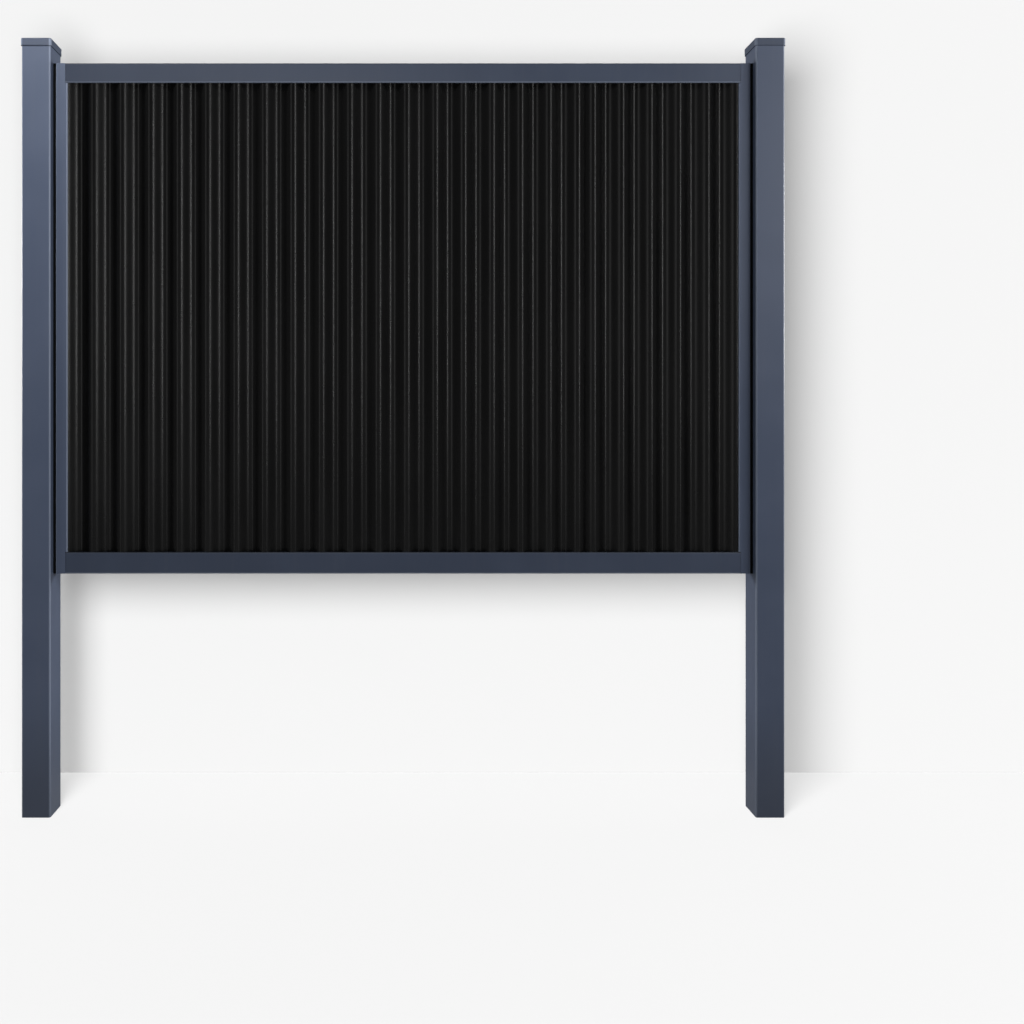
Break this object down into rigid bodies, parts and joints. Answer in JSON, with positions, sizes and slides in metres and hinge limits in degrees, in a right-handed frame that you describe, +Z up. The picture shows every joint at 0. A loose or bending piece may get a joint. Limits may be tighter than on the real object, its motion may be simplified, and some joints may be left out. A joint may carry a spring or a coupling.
{
  "type": "metal privacy fence bay",
  "caption": "Steel fence bay: square capped posts carrying a channel-framed panel of vertical corrugated sheet, held clear of the ground.",
  "frame": {"origin": "centre of the left post's foot face, at ground level", "axes": "+X along the fence from the left post to the right post, -Y out of the front face, +Z up"},
  "size_m": [2.6946, 0.108, 2.746],
  "materials": {
    "frame_paint": "satin slate blue-grey powder coat on folded steel",
    "sheet_paint": "glossy black coil coating on corrugated steel",
    "strip_rubber": "matt black rubber"
  },
  "bodies": {
    "root": {"left_post": "frame_paint", "right_post": "frame_paint", "left_post_cap": "frame_paint", "right_post_cap": "frame_paint", "top_rail": "frame_paint", "bottom_rail": "frame_paint", "left_stile": "frame_paint", "right_stile": "frame_paint", "left_gap_strip": "strip_rubber", "right_gap_strip": "strip_rubber", "left_sheet": "sheet_paint", "middle_sheet": "sheet_paint", "right_cut_sheet": "sheet_paint"}
  },
  "joints": []
}
